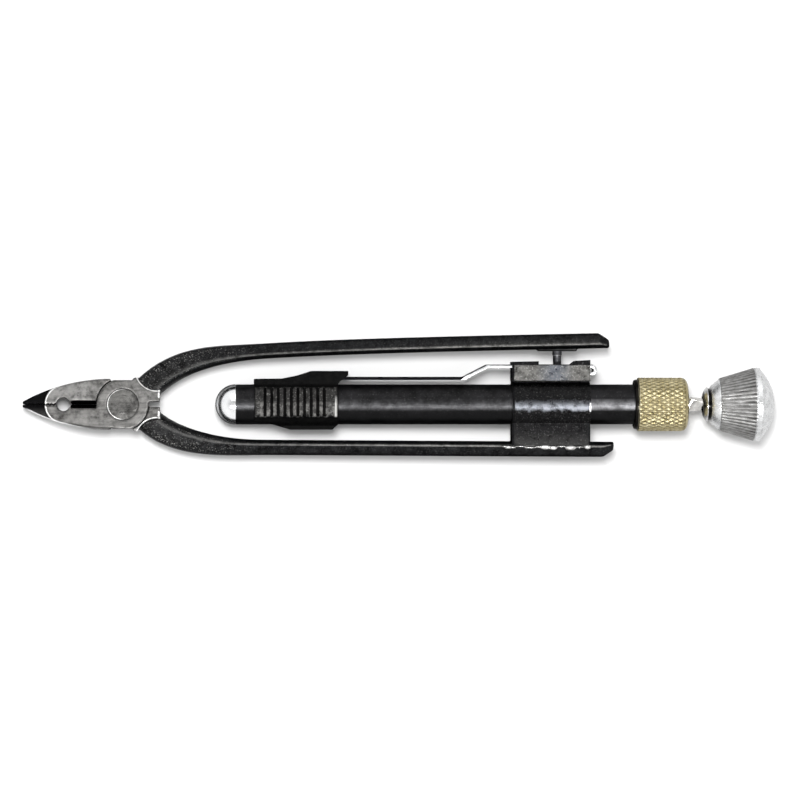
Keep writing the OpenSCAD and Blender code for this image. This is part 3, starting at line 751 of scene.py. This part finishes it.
def brass_finish():
    """Bright on the knurl's points, darker in its grooves, and painted shade at the front of the barrel."""
    material, tree, shader = new_finish("Knurled brass", 1.0)
    marks = worn_marks(tree, mottle=500, streak=1500, speck=2600, edge=0.00025)
    split = object_axes(tree)
    # Darker in the knurl's grooves along the middle of the barrel.
    groove_dark = product(tree, ranged(tree, off_axis(tree, split), 8.42 * MM, 8.2 * MM),
                    near(tree, split["X"], 189.8 * MM, 7.2 * MM, 0.3 * MM), 0.7)
    tone = layered(
        tree, mixed(tree, marks["Mottle"], (0.3, 0.245, 0.115), (0.62, 0.55, 0.34)),
        (product(tree, marks["Edge"], 0.75), (0.97, 0.93, 0.74)),
        (groove_dark, (0.1, 0.078, 0.032)),
        # Painted shade on the front of the barrel.
        (ranged(tree, split["X"], 182.15 * MM, 182.0 * MM), (0.012, 0.011, 0.01)))
    surfaced(tree, shader, tone, ranged(tree, marks["Mottle"], 0, 1, 0.26, 0.4),
             marks["Specks"], 0.03 * MM, 0.4)
    return material


cap = lathed("brass_cap_knurled", cap_profile(), CAP_COLUMNS)
for vertex in cap.data.vertices:
    x, y, z = vertex.co
    if math.hypot(y, z) > 8.25 * MM and x > KNURL_FROM:
        around = math.atan2(y, z) / (2 * math.pi) * KNURL_AROUND
        along = x / KNURL_PITCH
        left = abs((around + along) % 1 - 0.5) * 2
        right = abs((around - along) % 1 - 0.5) * 2
        fade = min(1, (x - KNURL_FROM) / (0.4 * MM), (KNURL_TO - x) / (0.7 * MM))
        pressed_in(vertex, KNURL_DEPTH * max(0, fade) * max(1 - 1.6 * left, 1 - 1.6 * right, 0))
bpy.ops.object.shade_smooth_by_angle(angle=math.radians(40))
painted(cap, brass_finish())
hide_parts("brass_cap")
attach(cap, "frame")

# ---------------------------------------------------------------------------------------------
# The return spring is music wire. It stays in the tube between the sliding seat and the fixed
# stop, so it shortens as the rod is drawn out.

SPRING_COIL, SPRING_WIRE = 3.65, 0.4
SPRING_FROM, SPRING_TO, SPRING_TURNS = 63.45, 188.35, 22
COIL_STEPS = 24
END_PITCH = 0.9
open_pitch = (SPRING_TO - SPRING_FROM - 2 * END_PITCH) / (SPRING_TURNS - 2)
bpy.ops.mesh.primitive_circle_add(vertices=8, radius=SPRING_WIRE * MM,
                                  location=(SPRING_FROM * MM, SPRING_COIL * MM, 0))
spring = bpy.context.object
spring.name = "return_spring_coil"
bpy.ops.object.transform_apply(location=True, rotation=True, scale=True)
bpy.ops.object.mode_set(mode="EDIT")
bpy.ops.mesh.select_all(action="SELECT")
bpy.ops.mesh.edge_face_add()
for step in range(COIL_STEPS * SPRING_TURNS):
    turns = step / COIL_STEPS
    closed = turns < 1 or turns > SPRING_TURNS - 1
    advance = (END_PITCH if closed else open_pitch) / COIL_STEPS * MM
    bpy.ops.mesh.extrude_region_move(TRANSFORM_OT_translate={"value": (advance, 0, 0)})
    bpy.ops.transform.rotate(value=-2 * math.pi / COIL_STEPS, orient_axis="X", center_override=(0, 0, 0))
bpy.ops.mesh.select_all(action="SELECT")
bpy.ops.mesh.normals_make_consistent(inside=False)
bpy.ops.object.mode_set(mode="OBJECT")
bpy.ops.object.shade_smooth_by_angle(angle=math.radians(60))
painted(spring, satin_steel("Spring wire", (0.5, 0.51, 0.53), (0.3, 0.3, 0.31), rough=0.3))
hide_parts("return_spring")
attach(spring, "frame")
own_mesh(spring)
painted(frame["nodes"]["spring_seat"], ground)

# ---------------------------------------------------------------------------------------------
# The spiral rod is flat bar twisted hot to a 30 mm lead and polished, with a turned journal at
# each end. Its front washer stops it in the tube.

LEAD = 30.0
BAR_FROM, BAR_TO = 63.2, 207.0
BAR_STEPS = 288
BAR_THICK, BAR_WIDE = 1.9 * MM, 4.2 * MM
ROD_FROM, ROD_TO = 58.2, 217.6
JOURNAL_RADIUS = 1.6 * MM
bpy.ops.mesh.primitive_plane_add(size=1, location=(0, 0, 0), rotation=(0, math.pi / 2, 0))
rod = bpy.context.object
rod.name = "spiral_rod_twisted"
rod.scale = (BAR_THICK, BAR_WIDE, 1)
bpy.ops.object.transform_apply(location=True, rotation=True, scale=True)
bpy.ops.object.mode_set(mode="EDIT")
bpy.ops.mesh.select_all(action="SELECT")
bpy.ops.mesh.bevel(offset=0.3 * MM, segments=2, affect="VERTICES")
bpy.ops.transform.translate(value=(BAR_FROM * MM, 0, 0))
bar_step = (BAR_TO - BAR_FROM) / BAR_STEPS
for step in range(BAR_STEPS):
    bpy.ops.mesh.extrude_region_move(TRANSFORM_OT_translate={"value": (bar_step * MM, 0, 0)})
    bpy.ops.transform.rotate(value=-2 * math.pi * bar_step / LEAD, orient_axis="X",
                             center_override=(0, 0, 0))
bpy.ops.mesh.select_all(action="SELECT")
bpy.ops.mesh.normals_make_consistent(inside=False)
bpy.ops.object.mode_set(mode="OBJECT")
journals = []
for start, end in ((ROD_FROM, BAR_FROM + 0.3), (BAR_TO - 0.3, ROD_TO)):
    bpy.ops.mesh.primitive_cylinder_add(
        vertices=48, radius=JOURNAL_RADIUS, depth=(end - start) * MM,
        location=((start + end) / 2 * MM, 0, 0), rotation=(0, math.pi / 2, 0))
    journals.append(bpy.context.object)
wake(rod)
for journal in journals:
    journal.select_set(True)
bpy.ops.object.join()
bpy.ops.object.shade_smooth_by_angle(angle=math.radians(35))
painted(rod, satin_steel("Polished bar", (0.78, 0.765, 0.74), (0.5, 0.49, 0.47), rough=0.16))
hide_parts("spiral_rod")
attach(rod, "rod")
for node in ("rod_end_washer", "thrust_washer", "rod_nut"):
    painted(frame["nodes"][node], ground)
painted(frame["nodes"]["clutch_dog"], hardened)

# ---------------------------------------------------------------------------------------------
# The knob is turned aluminium: a smooth ring, a fluted cone for the fingers and a domed cover
# pressed into its rear. A steel bush in its nose lets the bar through.

FLUTES = 52
FLUTE_DEPTH = 0.34 * MM
KNOB_COLUMNS = FLUTES * 8
CONE_ROWS = 24


def knob_profile():
    """Nose ring, fluted cone, rim at the cover, and back through the cavity, in millimetres."""
    cone = [(208.5 + 10.7 * i / CONE_ROWS, 8.35 + 3.25 * i / CONE_ROWS) for i in range(CONE_ROWS + 1)]
    front = [(207.4, 1.65), (207.4, 3.9), (205.55, 3.9), (205.55, 5.7), (205.7, 5.95), (207.9, 7.75),
             (208.15, 7.8), (208.3, 7.7), (208.3, 8.1)]
    rear = [(219.35, 11.45), (219.6, 11.5), (219.6, 11.72), (220.9, 11.72), (220.9, 8.0), (210.4, 8.0),
            (210.4, 1.65), (207.4, 1.65)]
    return front + cone + rear


def aluminium_finish():
    """Turned aluminium, bright on its lands, with painted shade in the bottoms of the flutes."""
    material, tree, shader = new_finish("Turned aluminium", 1.0)
    marks = worn_marks(tree, mottle=600, streak=1500, speck=2400, edge=0.0003)
    split = object_axes(tree)
    land = ranged(tree, split["X"], 208.5 * MM, 219.2 * MM, 8.35 * MM, 11.6 * MM)
    sunk = ranged(tree, maths(tree, "SUBTRACT", land, off_axis(tree, split)), 0.06 * MM, 0.3 * MM)
    fluted = near(tree, split["X"], 213.8 * MM, 5.4 * MM, 0.1 * MM)
    rear = ranged(tree, split["X"], 210.0 * MM, 219.0 * MM, 0.4, 1.0)
    cone = layered(tree, mixed(tree, marks["Mottle"], (0.19, 0.187, 0.182), (0.42, 0.42, 0.415)),
                   (product(tree, marks["Streaks"], 0.6), (0.2, 0.195, 0.19)))
    tone = layered(
        tree, mixed(tree, marks["Mottle"], (0.6, 0.605, 0.61), (0.86, 0.865, 0.87)),
        (fluted, cone),
        # Painted shade in the bottoms of the flutes, deeper towards the rear.
        (product(tree, sunk, fluted, rear), (0.02, 0.019, 0.018)),
        (product(tree, marks["Specks"], 0.35), (0.25, 0.245, 0.24)),
        (product(tree, marks["Edge"], 0.3), (0.96, 0.96, 0.97)))
    rough = maths(tree, "ADD", ranged(tree, marks["Streaks"], 0, 1, 0.24, 0.4), product(tree, fluted, 0.12))
    surfaced(tree, shader, tone, rough, maths(tree, "ADD", marks["Streaks"], marks["Specks"]), 0.04 * MM, 0.4)
    return material


knob = lathed("knob_body_fluted", knob_profile(), KNOB_COLUMNS)
for vertex in knob.data.vertices:
    x, y, z = vertex.co
    if 208.25 * MM < x < 219.5 * MM and math.hypot(y, z) > 8.05 * MM:
        turn = math.atan2(y, z)
        wave = 0.5 - 0.5 * math.cos(turn * FLUTES)
        uneven = 0.75 + 0.25 * math.sin(turn * 7 + x / MM * 0.9) * math.sin(turn * 19)
        deeper = 0.62 + 0.38 * (x / MM - 208.3) / 11.0
        pressed_in(vertex, FLUTE_DEPTH * uneven * deeper * wave ** 1.2)
bpy.ops.object.shade_smooth_by_angle(angle=math.radians(45))
turned_aluminium = aluminium_finish()
painted(knob, turned_aluminium)
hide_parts("knob_body")
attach(knob, "knob")

COVER_FROM, COVER_HEIGHT, COVER_RIM = 220.9, 5.1, 11.75
COVER_RINGS = 24
dome_radius = (COVER_RIM ** 2 + COVER_HEIGHT ** 2) / (2 * COVER_HEIGHT)
dome_angle = math.asin(COVER_RIM / dome_radius)
dome = []
for ring in range(COVER_RINGS):
    angle = dome_angle * ring / COVER_RINGS
    dome.append((COVER_FROM + COVER_HEIGHT - dome_radius * (1 - math.cos(angle)),
                 dome_radius * math.sin(angle)))
spigot = [(221.15, 11.72), (220.9, 11.6), (220.9, 8.0), (218.9, 8.0), (218.9, 6.4), (222.3, 6.4), (222.3, 0.0)]
cover = lathed("knob_cap_domed", dome + spigot, 160)
painted(cover, turned_aluminium)
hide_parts("knob_cap")
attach(cover, "knob")


def bush_finish():
    """Turned steel, with painted shade in the groove behind its lip and in its bore."""
    material = satin_steel("Bush steel", (0.86, 0.86, 0.86), (0.66, 0.66, 0.66), rough=0.2)
    tree = material.node_tree
    base = tree.nodes["Principled BSDF"].inputs["Base Color"]
    split = object_axes(tree)
    # Painted shade in the groove behind the lip and in the bore.
    groove_and_bore_shade = largest(tree, ranged(tree, split["X"], 204.4 * MM, 204.55 * MM),
                    ranged(tree, off_axis(tree, split), 4.4 * MM, 3.9 * MM))
    link(tree, mixed(tree, groove_and_bore_shade, base.links[0].from_socket, (0.008, 0.008, 0.008)), base)
    return material


BUSH_PROFILE = [(206.8, 2.7), (203.1, 2.7), (203.0, 2.85), (203.1, 3.4), (203.35, 4.1), (203.65, 4.7),
                (204.0, 5.2), (204.25, 5.45), (204.45, 5.48), (204.6, 5.3), (204.65, 5.1), (205.3, 5.1),
                (205.3, 3.9), (206.8, 3.9), (206.8, 2.7)]
bush = lathed("knob_bush_turned", BUSH_PROFILE, 128)
painted(bush, bush_finish())
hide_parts("knob_bush")
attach(bush, "knob")
painted(frame["nodes"]["clutch_ring"], hardened)

# ---------------------------------------------------------------------------------------------
# The lock slider is a steel casting, phosphated black, with ribs for the thumb on both faces.
# The latch strip riveted to it is blue-tempered spring steel, with a painted bright reflection from its bends
# on.

slider = copy_of("lock_slider", "lock_slider_cast")
applied(slider, "REMESH", mode="VOXEL", voxel_size=0.17 * MM, use_smooth_shade=True)
applied(slider, "SMOOTH", factor=0.5, iterations=2)
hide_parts("lock_slider")


def casting_finish():
    """Black phosphate, rubbed grey on the ribs, with a painted highlight on their lower half."""
    material, tree, shader = new_finish("Phosphated casting", 0.9, Specular_IOR_Level=0.25)
    marks = worn_marks(tree, mottle=520, streak=800, speck=1700, edge=0.0004)
    split = object_axes(tree)
    upper_facet = ranged(tree, split["Y"], 0.8 * MM, 5.6 * MM, 7.6 * MM, 6.9 * MM)
    lower_facet = ranged(tree, split["Y"], -4.1 * MM, 0.8 * MM, 7.1 * MM, 7.6 * MM)
    sunk = maths(tree, "SUBTRACT", maths(tree, "MINIMUM", upper_facet, lower_facet),
                 maths(tree, "ABSOLUTE", split["Z"]))
    ragged_y = maths(tree, "ADD", split["Y"], wobble(tree, marks["Mottle"], 1.8 * MM))
    face = product(tree, near(tree, split["X"], 73.4 * MM, 12.6 * MM, 0.5 * MM),
                   ranged(tree, sunk, 0.3 * MM, 0.08 * MM),
                   near(tree, ragged_y, 0.75 * MM, 3.9 * MM, 1.0 * MM))
    # Painted highlight on the lower half of the ribbed faces, over their wear.
    thumb = product(tree, face, ranged(tree, split["Y"], 1.0 * MM, -0.2 * MM),
                    ranged(tree, marks["Mottle"], 0.35, 0.95), 0.8)
    rear = product(tree, near(tree, split["X"], 86.1 * MM, 0.3 * MM, 0.25 * MM), face,
                   ranged(tree, split["Y"], 3.0 * MM, 1.5 * MM), 0.6)
    chips = maths(tree, "MULTIPLY", marks["Specks"], product(tree, face, 0.55), True)
    tone = layered(
        tree, mixed(tree, marks["Mottle"], (0.001, 0.001, 0.0011), (0.005, 0.0049, 0.0048)),
        (product(tree, face, ranged(tree, marks["Mottle"], 0, 1, 0.35, 0.9)), (0.04, 0.0393, 0.038)),
        (thumb, (0.16, 0.157, 0.15)),
        (rear, (0.5, 0.495, 0.48)),
        (chips, BARE_CHIP))
    surfaced(tree, shader, tone, ranged(tree, marks["Mottle"], 0, 1, 0.42, 0.56),
             maths(tree, "ADD", marks["Mottle"], marks["Specks"]), 0.07 * MM, 0.6)
    return material


painted(slider, casting_finish())
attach(slider, "lock")


def strip_finish():
    """Blue-black temper along the flat; a painted bright reflection from the bends on, with the black left at
    one edge.
    """
    material, tree, shader = new_finish("Spring strip", 1.0)
    marks = worn_marks(tree, mottle=500, streak=1400, speck=2200, edge=0.0002)
    split = object_axes(tree)
    top = ranged(tree, split["X"], 126.4 * MM, 134.0 * MM, 8.75 * MM, 12.65 * MM)
    below_top = maths(tree, "SUBTRACT", top, split["Y"])
    depth = ranged(tree, split["X"], 125.6 * MM, 126.6 * MM, 1.4 * MM, 0.22 * MM)
    ragged_depth = maths(tree, "ADD", depth, wobble(tree, marks["Mottle"], 0.3 * MM))
    temper = maths(tree, "LESS_THAN", below_top, ragged_depth)
    # Painted bright reflection from the bends on.
    painted_glare = mixed(tree, marks["Mottle"], (0.7, 0.71, 0.73), (0.93, 0.935, 0.94))
    surfaced(tree, shader, mixed(tree, temper, painted_glare, (0.008, 0.008, 0.009)),
             ranged(tree, marks["Streaks"], 0, 1, 0.22, 0.34), marks["Mottle"], 0.03 * MM, 0.4)
    return material


strip = softened("latch_strip", "latch_strip_sprung", 0.12 * MM)
painted(strip, strip_finish())
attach(strip, "lock")
rivets = softened("slider_rivets", "slider_rivets_headed", 0.12 * MM)
painted(rivets, hardened)
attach(rivets, "lock")

# ---------------------------------------------------------------------------------------------
# The latch post is a turned stud, pressed up into the handle through a spot-faced pad.

post = softened("latch_post", "latch_post_turned", 0.15 * MM)
painted(post, satin_steel("Turned post", (0.13, 0.13, 0.138), (0.02, 0.02, 0.022)))
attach(post, "moving_jaw")

# ---------------------------------------------------------------------------------------------
# A white table, tilted so that the slider's front edge and the rim of the knob rest on it, with a
# painted shadow of the tool in what the metal mirrors; a large soft lamp from the far side, a strip
# lamp along the tool and a weak lamp at the side.

TABLE_SEEN, TABLE_BOUNCE, TABLE_MIRRORED, TABLE_MIRRORED_FAR = 0.66, 0.4, 0.03, 0.45
KNOB_RIM_X = 220.9 * MM
slider_front_x, slider_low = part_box("lock_slider")[0][0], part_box("lock_slider")[0][2]
knob_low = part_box("knob_body")[0][2]
tilt = math.atan((slider_low - knob_low) / (KNOB_RIM_X - slider_front_x))
bpy.ops.mesh.primitive_plane_add(size=3, rotation=(0, tilt, 0))
table = bpy.context.object
table.name = "white_table"
table.location = (KNOB_RIM_X, 0, knob_low - 0.02 * MM)


def table_finish():
    """White; a painted shadow of the tool in what the metal mirrors, except ahead of the plug and below the
    knob.
    """
    material, tree, shader = new_finish("White table", 0.0, Roughness=1.0, Specular_IOR_Level=0.0)
    ray = shader_node(tree, "LightPath").outputs
    split = object_axes(tree)
    # Painted shadow: what the metal mirrors of the table is dark near the tool, as if in its shadow.
    from_plug = distance_from(tree, split, PLUG_FRONT - KNOB_RIM_X, 0.0)
    ahead_of_plug = product(tree, ranged(tree, split["X"], -158 * MM, -168 * MM),
                            ranged(tree, from_plug, 13.5 * MM, 15 * MM))
    far = largest(tree, ranged(tree, split["X"], -45 * MM, -20 * MM), ahead_of_plug)
    mirrored = mixed(tree, far, (TABLE_MIRRORED,) * 3, (TABLE_MIRRORED_FAR,) * 3)
    tone = mixed(tree, ray["Is Glossy Ray"], (TABLE_BOUNCE,) * 3, mirrored)
    link(tree, mixed(tree, ray["Is Camera Ray"], tone, (TABLE_SEEN,) * 3), shader.inputs["Base Color"])
    return material


painted(table, table_finish())

middle = Vector((106.6 * MM, 1.4 * MM, 0))


def softbox(name, place, target, size, power):
    bpy.ops.object.light_add(type="AREA", location=place)
    lamp = bpy.context.object
    lamp.name = name
    lamp.data.shape = "RECTANGLE"
    lamp.data.size, lamp.data.size_y = size
    lamp.data.energy = power
    lamp.rotation_euler = (Vector(target) - Vector(place)).to_track_quat("-Z", "Y").to_euler()
    return lamp


key = softbox("key_softbox", (0.0, 0.26, 1.3), middle, (0.28, 0.34), 20)
key.visible_glossy = False
strip_lamp = softbox("strip_softbox", (0.106, -0.37, 1.3), middle, (1.3, 0.12), 16)
strip_lamp.visible_diffuse = False
side_lamp = softbox("side_softbox", (0.106, 0.9, 1.0), middle, (1.3, 1.0), 4)
side_lamp.visible_diffuse = False

CEILING_TONE = 0.3
world = bpy.data.worlds.new("Studio")
bpy.context.scene.world = world
world.use_nodes = True
studio = world.node_tree
backdrop = studio.nodes["Background"]
backdrop.inputs["Strength"].default_value = 1.0
ceiling = ranged(studio, object_axes(studio, "Generated")["Z"], 0.6, 1.0)
mirrored = product(studio, ceiling, shader_node(studio, "LightPath").outputs["Is Glossy Ray"])
link(studio, mixed(studio, mirrored, (1, 1, 1), (CEILING_TONE,) * 3), backdrop.inputs["Color"])

CAMERA_PLACE = Vector((0.030, middle.y, 1.5))
FIELD = 0.254
SENSOR = 36
camera_lean = math.atan((middle.x - CAMERA_PLACE.x) / CAMERA_PLACE.z)
bpy.ops.object.camera_add(location=CAMERA_PLACE, rotation=(0, -camera_lean, 0))
camera = bpy.context.object
camera.data.sensor_width = SENSOR
camera.data.lens = SENSOR * (middle - CAMERA_PLACE).length / FIELD
camera.data.clip_start = 0.01
bpy.context.scene.camera = camera
bpy.context.scene.view_settings.view_transform = "Standard"
